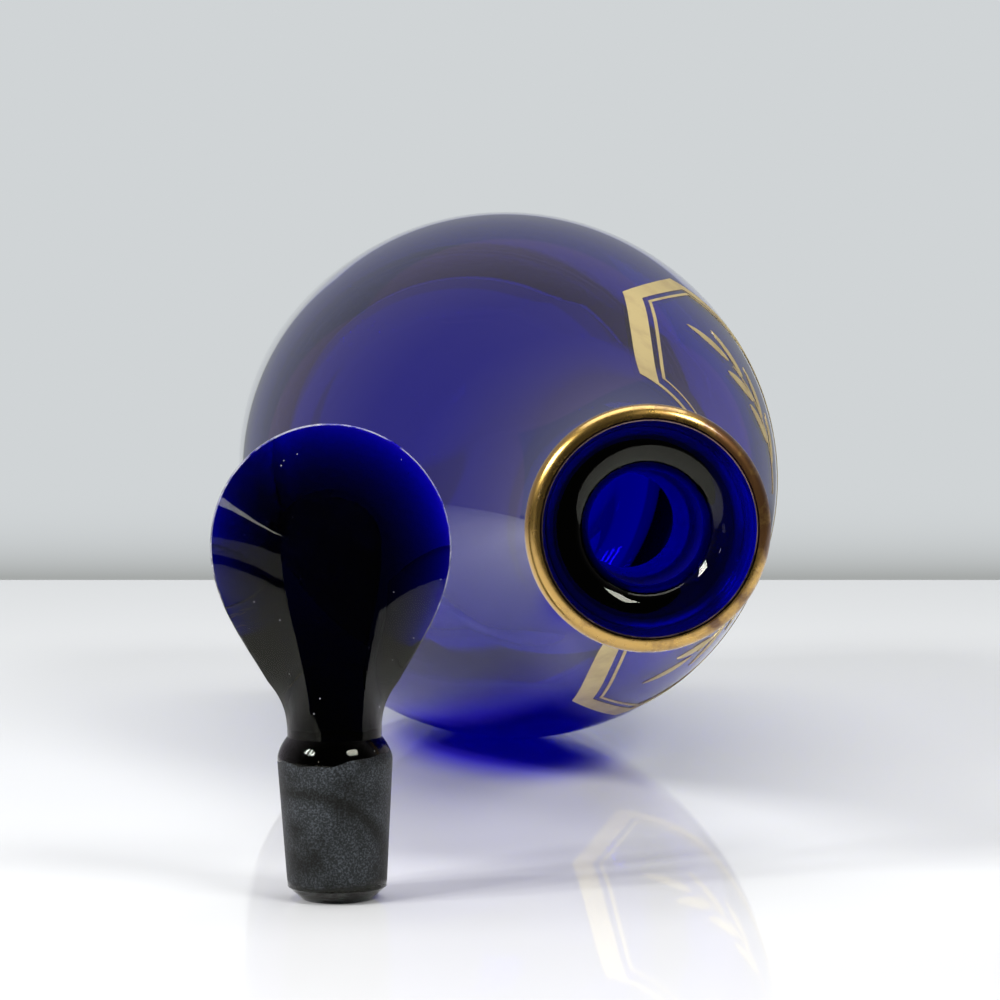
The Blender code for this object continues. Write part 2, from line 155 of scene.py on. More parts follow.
# Stopper, with heights measured from its foot
PEG_TOP_RADIUS = 0.00692
PEG_BOTTOM_RADIUS = 0.00596
PEG_FOOT_RADIUS = 0.00424
PEG_FOOT_CHAMFER = 0.00155
PEG_HEIGHT = 0.01675
COLLAR_BULGE_POWER = 1.8
WAIST_HEIGHT = 0.01955
WAIST_RADIUS = 0.00567
HEAD_WIDE_HEIGHT = 0.0423
HEAD_HALF_WIDTH = 0.0144
HEAD_CROWN_HEIGHT = 0.0147
HEAD_EDGE_THICKNESS = 0.0008
HEAD_EDGE_CHAMFER = 0.00016
HEAD_BLEND_HEIGHT = 0.00823
STOPPER_LEAN = math.radians(-0.9)
FACET_HALF_WIDTH = 0.00615
FACET_CROWN_HEIGHT = 0.0061
FACET_WAIST_HALF_WIDTH = 0.0030
FACET_WAIST_THICKNESS = 0.0097
FACET_CROWN_THICKNESS = 0.0066
OUTLINE_SHARES = (0.30, 0.43)
FACET_SHARES = (0.42, 0.34)

# Gilding: films that lie just clear of the glass
FILM_CLEARANCE = 0.00003
FILM_THICKNESS = 0.00006
LIP_GILT_FROM = math.radians(-75.0)
LIP_GILT_TO = math.radians(106.0)
MAROON_LINE_RADIUS = 0.01352
# Radius inside which a thin pale line is a painted highlight on the glass's edge
PAINTED_EDGE_HIGHLIGHT_RADIUS = 0.01330

# Gilt label, half widths measured round the glass and heights from the shoulder's start
LABEL_TURN = math.radians(-7.0)
LABEL_FOOT = 0.0310
LABEL_LOW_CORNER = 0.0425
LABEL_HIGH_CORNER = 0.0645
LABEL_TOP = 0.0915
LABEL_FOOT_HALF = 0.0285
LABEL_WIDE_HALF = 0.0427
LABEL_TOP_HALF = 0.0245
BAND_WIDTH = 0.0028
BAND_TOP_WIDTH = 0.0010
LINE_SETBACK = 0.0009
LINE_WIDTH = 0.0005

# Gilt laurel spray inside the label
BRANCH_LOW = 0.0500
BRANCH_ARC_RADIUS = 0.045
BRANCH_FROM = math.radians(4.0)
BRANCH_LENGTH = 0.0220
BRANCH_TO = BRANCH_FROM + BRANCH_LENGTH / BRANCH_ARC_RADIUS
STEM_WIDTH = 0.0008
STEM_TAPER_SHARE = 0.35
LEAF_LENGTH = 0.0090
LEAF_WIDTH = 0.0025
LEAF_SETBACK = 0.0012
LEAF_SPREAD = math.radians(34.0)
LEAF_PRESS_POWER = 0.8
LEAF_SWELL_POWER = 0.6
LEAVES_PER_BRANCH = 6

# Counts of steps round and along the curves
ROUND_STEPS = 160
SHOULDER_STEPS = 44
HEEL_STEPS = 18
SIDE_STEPS = 14
PONTIL_STEPS = 5
KICK_STEPS = 14
FLOOR_STEPS = 14
FILLET_STEPS = 40
FLARE_STEPS = 14
RIM_STEPS = 18
THROAT_STEPS = 24
COLLAR_STEPS = 8
FLANK_STEPS = 30
CROWN_STEPS = 26
FACET_STEPS = 10
BEVEL_STEPS = 8
LABEL_SIDE_CUTS = 47
STEM_GRID = (36, 2)
LEAF_GRID = (22, 4)

# Angles past which an edge of a mesh is shaded sharp
VESSEL_CREASE = math.radians(40.0)
GILDING_CREASE = math.radians(50.0)
STOPPER_CREASE = math.radians(14.0)

MERGE_DISTANCE = 0.000001

# Glass, with the density of its blue per metre
GLASS_IOR = 1.52
POLISHED_ROUGHNESS = 0.004
BLOWN_BLUE_DENSITY = 3600.0
CUT_BLUE_DENSITY = 5000.0
WHITE = (1.0, 1.0, 1.0, 1.0)

# Ground seat in the neck, which fades out over a thin skin round the bore
SEAT_ROUGHNESS = 0.42
SEAT_SKIN = (0.00003, 0.00012)
NECK_ABOVE_SHOULDER = 0.12

# Painted shade in the glass close to the lip: its colour is darkened so that it passes less light
LIP_PAINTED_SHADE_HEIGHT = 0.0026
LIP_PAINTED_SHADE_RIGHT_END = (0.0080, 0.0105)

# Borders of the ground peg: both wave, and the upper one rises to the right
BORDER_WAVE_HEIGHT = -0.0016
BORDER_TILT_HEIGHT = -0.0017
BORDER_TILT_FROM = -0.0010
BORDER_BELOW_COLLAR = 0.00088
BORDER_SOFTNESS = 0.00002
FOOT_POLISH_BELOW = 0.0006
FOOT_POLISH_ABOVE = 0.0002

# Ground peg: rough and nearly opaque, with grain and painted glints, and a dark sweep
PEG_ROUGHNESS = 0.5
PEG_TRANSMISSION = 0.25
PEG_TINT_GAIN = 60.0
PEG_GRAIN_AND_PAINTED_GLINTS = (0.5, 3.2)
SWEEP_SIDEWAYS = -0.0045
SWEEP_HEIGHT = 0.0025
SWEEP_RADIUS = 0.0108
SWEEP_HALF_WIDTH = 0.0015
SWEEP_DARK_SHARE = 0.2

# Chipped edge and dust on the stopper's head
EDGE_WEAR_SHARE = 0.8
DUST_SCALE = 450.0
DUST_REACH = 0.035
DULL_ROUGHNESS = 0.4
DULL_TRANSMISSION_LOSS = -0.75

# Gold of the lip and of the label
# Slope of wear to the right, which also paints the left side lighter, as if lit from there
LIP_WEAR_AND_LIGHT_SLOPE = 5.0
LIP_HANDLED_WAY = (0.9, 0.0, 0.44)
LIP_HANDLED_FROM_SHARE = 0.72
LIP_HANDLED_WEAR = 0.22
LIP_GOLD_ROUGHNESS = (0.26, 0.45)
LIP_COAT = 0.8
LIP_COAT_ROUGHNESS = 0.12
LABEL_GOLD_ROUGHNESS = 0.48
LABEL_GOLD_METALLIC = 0.85

# Table top
TABLE_ROUGHNESS = 0.03
TABLE_SHINE = 0.16

# Noise patterns, as scale, detail and roughness
BORDER_WAVES = (170.0, 2.0, 0.5)
PEG_CLOUDS = (150.0, 5.0, 0.6)
PEG_GRIT = (4400.0, 1.0, 0.5)
EDGE_CHIPS = (520.0, 3.0, 0.5)
LIP_RUBS = (260.0, 6.0, 0.65)
LABEL_PATCHES = (190.0, 5.0, 0.6)

# Where in its noise an effect starts and where it is full
CLOUD_SHARES = (0.40, 0.62)
GRAIN_AND_PAINTED_GLINT_SHARES = (0.45, 0.8)
CHIP_SHARES = (0.38, 0.62)
LIP_WORN_SHARES = (0.52, 0.74)
LABEL_THIN_SHARES = (0.45, 0.75)

# Bumps
BUMP_DEPTH = 0.0001
GRIT_BUMP = 0.5
RUB_BUMP = 0.25


def linear(hex_code):
    """A colour given as sRGB hex, in the linear values that the shaders use."""
    channels = [int(hex_code[i : i + 2], 16) / 255.0 for i in (1, 3, 5)]
    curve = [c / 12.92 if c <= 0.04045 else ((c + 0.055) / 1.055) ** 2.4 for c in channels]
    return (*curve, 1.0)


def add(tree, kind, inputs, **settings):
    """Add a node, give its sockets their values or links, and hand it back."""
    node = tree.nodes.new(kind)
    for key, value in settings.items():
        setattr(node, key, value)
    for key, value in inputs.items():
        if isinstance(value, bpy.types.NodeSocket):
            tree.links.new(value, node.inputs[key])
        else:
            node.inputs[key].default_value = value
    return node


def work_out(tree, operation, *values, clamp=False):
    """The result of a sum, a product or a test, on up to three numbers."""
    inputs = dict(enumerate(values))
    node = add(tree, "ShaderNodeMath", inputs, operation=operation, use_clamp=clamp)
    return node.outputs[0]


def ramp(tree, value, span, result=(0.0, 1.0), curve="LINEAR"):
    """A number that goes from one result to the other while the value crosses a span."""
    inputs = {
        "Value": value,
        "From Min": span[0],
        "From Max": span[1],
        "To Min": result[0],
        "To Max": result[1],
    }
    node = add(tree, "ShaderNodeMapRange", inputs, interpolation_type=curve)
    return node.outputs["Result"]


def blend(tree, share, first, second):
    """A colour that goes from the first to the second."""
    node = add(tree, "ShaderNodeMix", {0: share, 6: first, 7: second}, data_type="RGBA")
    return node.outputs[2]


def pattern(tree, place, kind):
    """One of the named noise patterns."""
    scale, detail, roughness = kind
    inputs = {"Vector": place, "Scale": scale, "Detail": detail, "Roughness": roughness}
    return add(tree, "ShaderNodeTexNoise", inputs).outputs["Fac"]


def object_place(tree):
    """The point that is shaded, in the piece's own coordinates."""
    return add(tree, "ShaderNodeTexCoord", {}).outputs["Object"]


def across_axis(tree, parts):
    """The sideways and upward parts of a place, without the part along Y."""
    inputs = {"X": parts.outputs["X"], "Z": parts.outputs["Z"]}
    return add(tree, "ShaderNodeCombineXYZ", inputs).outputs[0]


def round_vessel_axis(tree, place):
    """A place measured from the vessel's axis: its three parts, and the way across the axis."""
    moved = {"Vector": place, "Location": (-VESSEL_X, 0.0, -BODY_RADIUS)}
    centred = add(tree, "ShaderNodeMapping", moved)
    parts = add(tree, "ShaderNodeSeparateXYZ", {"Vector": centred.outputs[0]})
    return parts, across_axis(tree, parts)


def length_of(tree, way):
    """How long a vector is."""
    return add(tree, "ShaderNodeVectorMath", {0: way}, operation="LENGTH").outputs["Value"]


def bump_from(tree, height, strength):
    """Surface directions for fine bumps."""
    inputs = {"Height": height, "Strength": strength, "Distance": BUMP_DEPTH}
    return add(tree, "ShaderNodeBump", inputs).outputs[0]


def surface_only(tree, surface):
    """Finish a material that is only a surface."""
    shader = add(tree, "ShaderNodeBsdfPrincipled", surface)
    add(tree, "ShaderNodeOutputMaterial", {"Surface": shader.outputs[0]})


def surface_and_blue(tree, surface, hex_code, density):
    """Finish a glass: a surface, and inside it a volume that turns deeper blue as it thickens."""
    shader = add(tree, "ShaderNodeBsdfPrincipled", surface)
    inside = {"Color": linear(hex_code), "Density": density}
    blue = add(tree, "ShaderNodeVolumeAbsorption", inside)
    both = {"Surface": shader.outputs[0], "Volume": blue.outputs[0]}
    add(tree, "ShaderNodeOutputMaterial", both)


def new_material(name):
    """An empty material and its tree of nodes."""
    material = bpy.data.materials.new(name)
    material.use_nodes = True
    material.node_tree.nodes.clear()
    return material, material.node_tree


# Materials


def blown_cobalt_glass():
    """Fire-polished cobalt glass: mirror-smooth skin, and a blue that deepens with thickness.

    The seat in the neck is ground, so it scatters light and reads as a milky violet band.
    Close to the lip, all but its right, the glass's colour is darkened with painted shade, so it
    passes less light and reads nearly black.
    """
    material, tree = new_material("blown_cobalt_glass")
    parts, across = round_vessel_axis(tree, object_place(tree))
    seat_skin = [BORE_RADIUS + depth for depth in SEAT_SKIN]
    near_axis = ramp(tree, length_of(tree, across), seat_skin, (1.0, 0.0))
    neck_start = FOOT_Y - SHOULDER_START - NECK_ABOVE_SHOULDER
    in_neck = work_out(tree, "LESS_THAN", parts.outputs["Y"], neck_start)
    ground = work_out(tree, "MULTIPLY", near_axis, in_neck)
    lip = FOOT_Y - rim_centre()[1]
    near_lip = ramp(tree, parts.outputs["Y"], (lip, lip + LIP_PAINTED_SHADE_HEIGHT), (1.0, 0.0))
    off_right = ramp(tree, parts.outputs["X"], LIP_PAINTED_SHADE_RIGHT_END, (1.0, 0.0))
    lip_painted_shade = work_out(tree, "MULTIPLY", near_lip, off_right)
    surface = {
        # Painted shade: grey colour on the glass close to the lip
        "Base Color": blend(tree, lip_painted_shade, WHITE, linear("#7a7a7a")),
        "Roughness": ramp(tree, ground, (0.0, 1.0), (POLISHED_ROUGHNESS, SEAT_ROUGHNESS)),
        "Transmission Weight": 1.0,
        "IOR": GLASS_IOR,
        "Specular Tint": linear("#c0c0b4"),
    }
    surface_and_blue(tree, surface, "#8250fb", BLOWN_BLUE_DENSITY)
    return material


def ground_share(tree, place, parts):
    """Where the peg is ground: between a wavy, tilted line and its polished foot."""
    waves = pattern(tree, place, BORDER_WAVES)
    height = parts.outputs["Z"]
    uneven = work_out(tree, "MULTIPLY_ADD", waves, BORDER_WAVE_HEIGHT, height)
    tilt_span = (STOPPER_X + BORDER_TILT_FROM, STOPPER_X + PEG_TOP_RADIUS)
    tilt = ramp(tree, parts.outputs["X"], tilt_span, (0.0, BORDER_TILT_HEIGHT))
    tilted = work_out(tree, "ADD", uneven, tilt)
    border = PEG_HEIGHT - BORDER_BELOW_COLLAR
    below_collar = ramp(tree, tilted, (border - BORDER_SOFTNESS, border), (1.0, 0.0))
    foot_span = (PEG_FOOT_CHAMFER - FOOT_POLISH_BELOW, PEG_FOOT_CHAMFER + FOOT_POLISH_ABOVE)
    above_foot = ramp(tree, uneven, foot_span)
    return ramp(tree, below_collar, (0.0, 1.0), (0.0, above_foot))


def ground_colour(tree, place, parts, grit):
    """Slate grey clouds with grainy grit brightened by painted glints, crossed by a dark curved sweep.
    """
    cloud = ramp(tree, pattern(tree, place, PEG_CLOUDS), CLOUD_SHARES)
    frosted = blend(tree, cloud, linear("#0e1014"), linear("#363a3f"))
    sweep_centre = (STOPPER_X + SWEEP_SIDEWAYS, 0.0, SWEEP_HEIGHT)
    ends = {0: across_axis(tree, parts), 1: sweep_centre}
    from_sweep = add(tree, "ShaderNodeVectorMath", ends, operation="DISTANCE")
    off_sweep = work_out(tree, "SUBTRACT", from_sweep.outputs["Value"], SWEEP_RADIUS)
    beside_sweep = work_out(tree, "ABSOLUTE", off_sweep)
    swept = ramp(tree, beside_sweep, (0.0, SWEEP_HALF_WIDTH), (SWEEP_DARK_SHARE, 1.0), "SMOOTHSTEP")
    # Grain with painted glints: bright specks painted into the ground glass's colour
    grain_and_painted_glints = ramp(tree, grit, GRAIN_AND_PAINTED_GLINT_SHARES, PEG_GRAIN_AND_PAINTED_GLINTS)
    shade = work_out(tree, "MULTIPLY", grain_and_painted_glints, swept)
    return add(tree, "ShaderNodeVectorMath", {0: frosted, 3: shade}, operation="SCALE").outputs[0]


def rubbed_head_edge(tree, place, parts):
    """Where the narrow edge of the stopper's head is rubbed and chipped, most at its top."""
    off_middle = work_out(tree, "SUBTRACT", parts.outputs["Y"], STOPPER_Y)
    from_middle = work_out(tree, "ABSOLUTE", off_middle)
    edge_reach = HEAD_EDGE_THICKNESS / 2.0 + HEAD_EDGE_CHAMFER
    on_edge = work_out(tree, "LESS_THAN", from_middle, edge_reach)
    head_span = (WAIST_HEIGHT + HEAD_BLEND_HEIGHT, HEAD_WIDE_HEIGHT)
    high = ramp(tree, parts.outputs["Z"], head_span, (0.0, EDGE_WEAR_SHARE))
    chipped = ramp(tree, pattern(tree, place, EDGE_CHIPS), CHIP_SHARES)
    high_chips = work_out(tree, "MULTIPLY", high, chipped)
    return work_out(tree, "MULTIPLY", high_chips, on_edge)


def dust_specks(tree, place, parts):
    """A few specks of dust on the stopper's head."""
    cells = add(tree, "ShaderNodeTexVoronoi", {"Vector": place, "Scale": DUST_SCALE})
    speck = work_out(tree, "LESS_THAN", cells.outputs["Distance"], DUST_REACH)
    above_waist = work_out(tree, "GREATER_THAN", parts.outputs["Z"], WAIST_HEIGHT)
    return work_out(tree, "MULTIPLY", speck, above_waist)


def cut_cobalt_glass():
    """Wheel-cut, polished cobalt glass, nearly black where it is thick, on a ground peg.

    Between an uneven, tilted line and the polished foot the peg is ground with sand: slate grey,
    cloudy and grainy, with painted glints and a dark sweep across. The head's thin edge is pale
    and chipped, and a few specks of dust lie on the head.
    """
    material, tree = new_material("cut_cobalt_glass")
    place = object_place(tree)
    parts = add(tree, "ShaderNodeSeparateXYZ", {"Vector": place})
    ground = ground_share(tree, place, parts)
    grit = pattern(tree, place, PEG_GRIT)
    tinted = work_out(tree, "MULTIPLY", ground, PEG_TINT_GAIN, clamp=True)
    base = blend(tree, tinted, WHITE, ground_colour(tree, place, parts, grit))
    rubbed = rubbed_head_edge(tree, place, parts)
    dulled = work_out(tree, "MAXIMUM", rubbed, dust_specks(tree, place, parts))
    rough = ramp(tree, ground, (0.0, 1.0), (POLISHED_ROUGHNESS, PEG_ROUGHNESS))
    clear = ramp(tree, ground, (0.0, 1.0), (1.0, PEG_TRANSMISSION))
    passing = work_out(tree, "MULTIPLY_ADD", dulled, DULL_TRANSMISSION_LOSS, clear, clamp=True)
    surface = {
        "Base Color": blend(tree, dulled, base, linear("#b9bac4")),
        "Roughness": work_out(tree, "MULTIPLY_ADD", dulled, DULL_ROUGHNESS, rough),
        "Transmission Weight": passing,
        "IOR": GLASS_IOR,
        "Specular Tint": linear("#b0b0a4"),
        "Normal": bump_from(tree, work_out(tree, "MULTIPLY", grit, ground), GRIT_BUMP),
    }
    surface_and_blue(tree, surface, "#7c46ef", CUT_BLUE_DENSITY)
    return material


def lip_gold():
    """Burnished fired gold under a glossy coat, handled for years: bright, with rubbed brown patches,
    more to the right; painted lighter on the left.

    Inside the lip the gold ends in a dark red-brown line and, inside that, a thin pale line that is a
    painted highlight on the glass's edge.
    """
    material, tree = new_material("lip_gold")
    place = object_place(tree)
    rubs = pattern(tree, place, LIP_RUBS)
    parts, across = round_vessel_axis(tree, place)
    radius = length_of(tree, across)
    ways = {0: across, 1: LIP_HANDLED_WAY}
    upper_right = add(tree, "ShaderNodeVectorMath", ways, operation="DOT_PRODUCT")
    handled_span = (RIM_CENTRE_RADIUS * LIP_HANDLED_FROM_SHARE, RIM_CENTRE_RADIUS)
    handled = ramp(tree, upper_right.outputs["Value"], handled_span, (0.0, LIP_HANDLED_WEAR))
    # Wear that grows to the right; the same slope paints the left side lighter, as if lit from the
    # left
    sided_wear_and_light = work_out(tree, "MULTIPLY_ADD", parts.outputs["X"], LIP_WEAR_AND_LIGHT_SLOPE, rubs)
    wear_and_painted_light = ramp(tree, work_out(tree, "ADD", sided_wear_and_light, handled), LIP_WORN_SHARES)
    rubbed = blend(tree, wear_and_painted_light, linear("#bd984f"), linear("#6a4a2c"))
    in_maroon = work_out(tree, "LESS_THAN", radius, MAROON_LINE_RADIUS)
    in_painted_edge_highlight = work_out(tree, "LESS_THAN", radius, PAINTED_EDGE_HIGHLIGHT_RADIUS)
    edged = blend(tree, in_maroon, rubbed, linear("#1c0812"))
    surface = {
        # Painted highlight: the thin pale line on the glass's edge inside the red-brown one
        "Base Color": blend(tree, in_painted_edge_highlight, edged, linear("#9a7f74")),
        "Roughness": ramp(tree, wear_and_painted_light, (0.0, 1.0), LIP_GOLD_ROUGHNESS),
        "Metallic": 1.0,
        "Coat Weight": LIP_COAT,
        "Coat Roughness": LIP_COAT_ROUGHNESS,
        "Normal": bump_from(tree, rubs, RUB_BUMP),
    }
    surface_only(tree, surface)
    return material


def label_gold():
    """Unburnished fired gold, laid on with a brush: pale, matt and a little patchy."""
    material, tree = new_material("label_gold")
    thin = ramp(tree, pattern(tree, object_place(tree), LABEL_PATCHES), LABEL_THIN_SHARES)
    surface = {
        "Base Color": blend(tree, thin, linear("#ecd99a"), linear("#d6bf88")),
        "Roughness": LABEL_GOLD_ROUGHNESS,
        "Metallic": LABEL_GOLD_METALLIC,
    }
    surface_only(tree, surface)
    return material


def white_table_top():
    """Glossy white table top, a clear mirror for what stands on it.

    Round the vessel's resting line its colour is painted vivid blue, a painted caustic for the light
    that the glass lets by.
    """
    material, tree = new_material("white_table_top")
    centre_x, centre_y = PAINTED_BLUE_LIGHT_PLACE
    reach_x, reach_y = PAINTED_BLUE_LIGHT_REACH
    oval = {
        "Vector": object_place(tree),
        "Location": (-centre_x / reach_x, -centre_y / reach_y, 0.0),
        "Scale": (1.0 / reach_x, 1.0 / reach_y, 0.0),
    }
    squeezed = add(tree, "ShaderNodeMapping", oval)
    off_centre = length_of(tree, squeezed.outputs[0])
    # Painted blue light: the oval where the table's colour turns blue
    glow = ramp(tree, off_centre, PAINTED_BLUE_LIGHT_SHARES, (1.0, 0.0), "SMOOTHSTEP")
    surface = {
        "Base Color": blend(tree, glow, linear("#eeefef"), linear("#5a48ff")),
        "Roughness": TABLE_ROUGHNESS,
        "Specular IOR Level": TABLE_SHINE,
    }
    surface_only(tree, surface)
    return material


def pale_backdrop_paper():
    """Pale grey paper that glows, with a painted pool of light, and painted shade making it a little
    darker where it goes down behind the table.
    """
    material, tree = new_material("pale_backdrop_paper")
    middle = camera_point(BACKDROP_DISTANCE)
    moved = {"Vector": object_place(tree), "Location": (-middle.x, -middle.y, 0.0)}
    from_middle = add(tree, "ShaderNodeMapping", moved)
    turned_back = {"Vector": from_middle.outputs[0], "Rotation": (0.0, 0.0, CAMERA_TURN)}
    along = add(tree, "ShaderNodeMapping", turned_back)
    parts = add(tree, "ShaderNodeSeparateXYZ", {"Vector": along.outputs[0]})
    sideways = work_out(tree, "ABSOLUTE", parts.outputs["X"])
    away = work_out(tree, "MAXIMUM", sideways, parts.outputs["Z"])
    # Painted shade low down, and a painted pool of light that dims away from the middle
    low = ramp(tree, parts.outputs["Z"], (BACKDROP_PAINTED_SHADE_BELOW, BACKDROP_PALE_ABOVE), (1.0, 0.0))
    painted_low_shade = work_out(tree, "POWER", low, BACKDROP_PAINTED_SHADE_POWER)
    outside = (1.0, PAINTED_POOL_OUTSIDE_SHARE)
    shine = {
        "Color": blend(tree, painted_low_shade, linear("#d0d4d6"), linear("#a6a9a8")),
        "Strength": ramp(tree, away, PAINTED_POOL_REACH, outside, "SMOOTHSTEP"),
    }
    glow = add(tree, "ShaderNodeEmission", shine)
    add(tree, "ShaderNodeOutputMaterial", {"Surface": glow.outputs[0]})
    return material


# Curves of (radius, height) points


def arc(centre, radius, start, end, steps):
    """Points on an arc, with both of its ends."""
    angles = [start + (end - start) * step / steps for step in range(steps + 1)]
    return [(centre[0] + radius * math.cos(a), centre[1] + radius * math.sin(a)) for a in angles]


def bezier(handles, share):
    """One point on a cubic curve, at a share of the way along it."""
    rest = 1.0 - share
    weights = (rest**3, 3.0 * rest**2 * share, 3.0 * rest * share**2, share**3)
    return tuple(sum(w * handle[axis] for w, handle in zip(weights, handles)) for axis in (0, 1))


def shoulder_and_neck(offset, neck_radius):
    """The shoulder's arc, the cone above it and the fillet into the neck."""
    centre = (BODY_RADIUS - SHOULDER_ARC_RADIUS, SHOULDER_START)
    points = arc(centre, SHOULDER_ARC_RADIUS - offset, 0.0, SHOULDER_SLOPE, SHOULDER_STEPS)
    cone_radius, cone_height = points[-1]
    corner_height = cone_height + (cone_radius - neck_radius) / math.tan(SHOULDER_SLOPE)
    fillet_radius = NECK_FILLET_RADIUS + offset
    fillet_top = corner_height + fillet_radius * math.tan(SHOULDER_SLOPE / 2.0)
    centre = (neck_radius + fillet_radius, fillet_top)
    fillet = arc(centre, fillet_radius, math.pi + SHOULDER_SLOPE, math.pi, FILLET_STEPS)
    cone = []
    for step in range(1, SHOULDER_STEPS):
        share = step / SHOULDER_STEPS
        cone.append(tuple(points[-1][i] * (1.0 - share) + fillet[0][i] * share for i in (0, 1)))
    return points + cone + fillet


def kick(radius):
    """How far the base is pushed up at a radius, down to nothing at the foot ring."""
    if radius >= KICK_REACH:
        return 0.0
    return KICK_HEIGHT * math.cos(math.pi / 2.0 * radius / KICK_REACH) ** 2


def underside():
    """The base from the axis out to the foot ring: pontil mark, kick and flat ring."""
    points = []
    for step in range(PONTIL_STEPS + 1):
        radius = PONTIL_RADIUS * step / PONTIL_STEPS
        dish = PONTIL_DEPTH * (1.0 - (radius / PONTIL_RADIUS) ** 2)
        points.append((radius, kick(radius) + dish))
    for step in range(1, KICK_STEPS + 1):
        radius = PONTIL_RADIUS + (KICK_REACH - PONTIL_RADIUS) * step / KICK_STEPS
        points.append((radius, kick(radius)))
    return points


def heel(side_radius, floor_radius, floor_height):
    """The rounded heel from the floor's edge up to the side, a quarter ellipse."""
    points = []
    for step in range(HEEL_STEPS + 1):
        angle = math.pi / 2.0 * (1.0 - step / HEEL_STEPS)
        radius = floor_radius + (side_radius - floor_radius) * math.cos(angle)
        points.append((radius, HEEL_HEIGHT - (HEEL_HEIGHT - floor_height) * math.sin(angle)))
    return points


def side(offset):
    """The body's side between heel and shoulder, blown very slightly barrel-shaped."""
    centre = (BODY_RADIUS - BODY_SIDE_ARC_RADIUS, SHOULDER_START)
    low = -math.asin(BODY_STRAIGHT / BODY_SIDE_ARC_RADIUS)
    return arc(centre, BODY_SIDE_ARC_RADIUS - offset, low, 0.0, SIDE_STEPS)[:-1]


def outside_of_body():
    """The glass's outside from the foot ring to the top of the neck's fillet."""
    flank = side(0.0)
    curve = heel(flank[0][0], FOOT_RADIUS, 0.0)[:-1]
    return curve + flank + shoulder_and_neck(0.0, NECK_RADIUS)


def inside_of_body():
    """The glass's inside from the neck's fillet down to the axis on the floor."""
    flank = side(WALL)
    points = heel(flank[0][0], FOOT_RADIUS * FLOOR_SHARE, BASE_THICKNESS)[:-1]
    points += flank + shoulder_and_neck(WALL, NECK_RADIUS - NECK_WALL)
    floor = []
    for step in range(FLOOR_STEPS):
        radius = FOOT_RADIUS * FLOOR_SHARE * step / FLOOR_STEPS
        floor.append((radius, BASE_THICKNESS + kick(radius)))
    return list(reversed(floor + points))


def flare_start():
    """Height at which the neck starts to flare into the lip."""
    return outside_of_body()[-1][1] + NECK_STRAIGHT


def rim_centre():
    """Middle of the round edge of the lip."""
    return (RIM_CENTRE_RADIUS, flare_start() + FLARE_HEIGHT + RIM_CENTRE_RISE)


def mouth():
    """The flare under the lip, its round edge, the funnel, the throat and the ground seat."""
    points = []
    edge_radius, edge_height = rim_centre()
    flare_rise = edge_height - RIM_EDGE_RADIUS - flare_start()
    for step in range(FLARE_STEPS):
        angle = math.pi / 2.0 * step / FLARE_STEPS
        radius = edge_radius - (edge_radius - NECK_RADIUS) * math.cos(angle)
        points.append((radius, flare_start() + flare_rise * math.sin(angle)))
    upright = math.pi / 2.0 + FUNNEL_SLOPE
    points += arc(rim_centre(), RIM_EDGE_RADIUS, -math.pi / 2.0, upright, RIM_STEPS)
    funnel_radius, funnel_height = points[-1]
    throat_radius = BORE_RADIUS + THROAT_ROUNDING * (1.0 - math.sin(FUNNEL_SLOPE))
    funnel_drop = (funnel_radius - throat_radius) * math.tan(FUNNEL_SLOPE)
    throat_centre = (
        BORE_RADIUS + THROAT_ROUNDING,
        funnel_height - funnel_drop - THROAT_ROUNDING * math.cos(FUNNEL_SLOPE),
    )
    points += arc(throat_centre, THROAT_ROUNDING, upright, math.pi, THROAT_STEPS)
    points.append((BORE_END_RADIUS, throat_centre[1] - SEAT_LENGTH))
    return points


def turned(profile):
    """Spin a profile round the upright axis: from the axis back to it, or round a closed loop."""
    bm = bmesh.new()
    loop = [bm.verts.new((radius, 0.0, height)) for radius, height in profile]
    edges = [bm.edges.new(pair) for pair in zip(loop, loop[1:])]
    if profile[0][0] > 0.0:
        edges.append(bm.edges.new((loop[-1], loop[0])))
    bmesh.ops.spin(
        bm,
        geom=loop + edges,
        cent=(0.0, 0.0, 0.0),
        axis=(0.0, 0.0, 1.0),
        dvec=(0.0, 0.0, 0.0),
        angle=2.0 * math.pi,
        steps=ROUND_STEPS,
        use_merge=True,
    )
    return bm


def lie_down(bm):
    """Turn an upright vessel piece onto its side, mouth towards -Y, resting on the table."""
    place = Matrix.Translation((VESSEL_X, FOOT_Y, BODY_RADIUS))
    bm.transform(place @ Matrix.Rotation(math.pi / 2.0, 4, "X"))


def finish_piece(name, bm, material, body, nodes, crease):
    """Close a bmesh into a piece that rides on a body and stands for CAD nodes."""
    bmesh.ops.remove_doubles(bm, verts=bm.verts, dist=MERGE_DISTANCE)
    bmesh.ops.recalc_face_normals(bm, faces=bm.faces)
    mesh = bpy.data.meshes.new(name)
    bm.to_mesh(mesh)
    bm.free()
    mesh.shade_smooth()
    mesh.set_sharp_from_angle(angle=crease)
    mesh.materials.append(material)
    piece = bpy.data.objects.new(name, mesh)
    bpy.context.scene.collection.objects.link(piece)
    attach(piece, body)
    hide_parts(*nodes)


def build_vessel(material):
    """The blown vessel, one closed body of glass with its hollow inside."""
    bm = turned(underside() + outside_of_body() + mouth() + inside_of_body())
    lie_down(bm)
    finish_piece(
        "vessel_glass", bm, material, "decanter", ["vessel"], VESSEL_CREASE
    )


def finish_gilding(name, bm, node, material):
    """Lay upright gilding down with the vessel and make it a piece."""
    lie_down(bm)
    finish_piece(name, bm, material, "decanter", [node], GILDING_CREASE)


